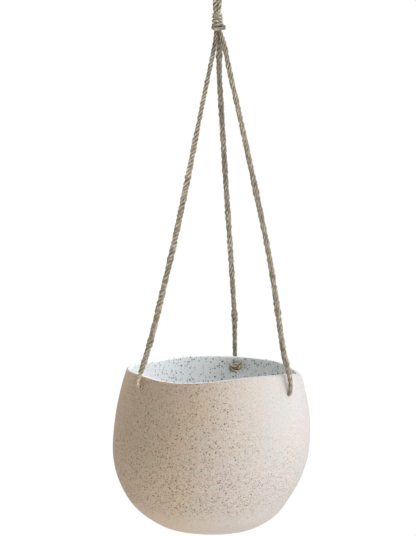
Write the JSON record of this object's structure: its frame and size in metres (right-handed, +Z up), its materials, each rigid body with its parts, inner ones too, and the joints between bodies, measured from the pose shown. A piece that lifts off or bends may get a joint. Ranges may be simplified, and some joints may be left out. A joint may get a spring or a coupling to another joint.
{
  "type": "hanging planter",
  "caption": "Round stoneware bowl planter with a softly dipped rim, hung on knotted jute cords that gather under a twine binding into a hanging loop.",
  "frame": {"origin": "inside top of the hanging loop, where it rests on its hook", "axes": "+Z up, along the cords' common line; the front is -Y, +X is to the right of someone facing the front"},
  "size_m": [0.18, 0.18, 0.5583],
  "materials": {
    "stoneware": "matt speckled clay outside, white speckled glaze inside",
    "jute_cord": "natural twisted jute",
    "jute_twine": "natural twisted jute twine"
  },
  "bodies": {
    "loop": {"hanging_loop": "jute_cord"},
    "neck": {"neck_left": "jute_cord", "neck_right": "jute_cord"},
    "binding": {"binding": "jute_twine", "gathered_cords": "jute_cord"},
    "planter": {"pot": "stoneware", "left_cord": "jute_cord", "right_cord": "jute_cord", "back_cord": "jute_cord", "left_knot": "jute_cord", "right_knot": "jute_cord", "back_knot": "jute_cord"}
  },
  "joints": [
    {"name": "swing_front_back", "type": "hinge", "parent": "loop", "child": "neck", "pos_m": [0, 0, -0.056], "axis": [1, 0, 0], "range_deg": [-30, 30]},
    {"name": "swing_sideways", "type": "hinge", "parent": "neck", "child": "binding", "pos_m": [0, 0, -0.076], "axis": [0, 1, 0], "range_deg": [-30, 30]},
    {"name": "turn", "type": "hinge", "parent": "binding", "child": "planter", "pos_m": [0, 0, -0.09652], "axis": [0, 0, 1], "range_deg": [-180, 180]}
  ]
}
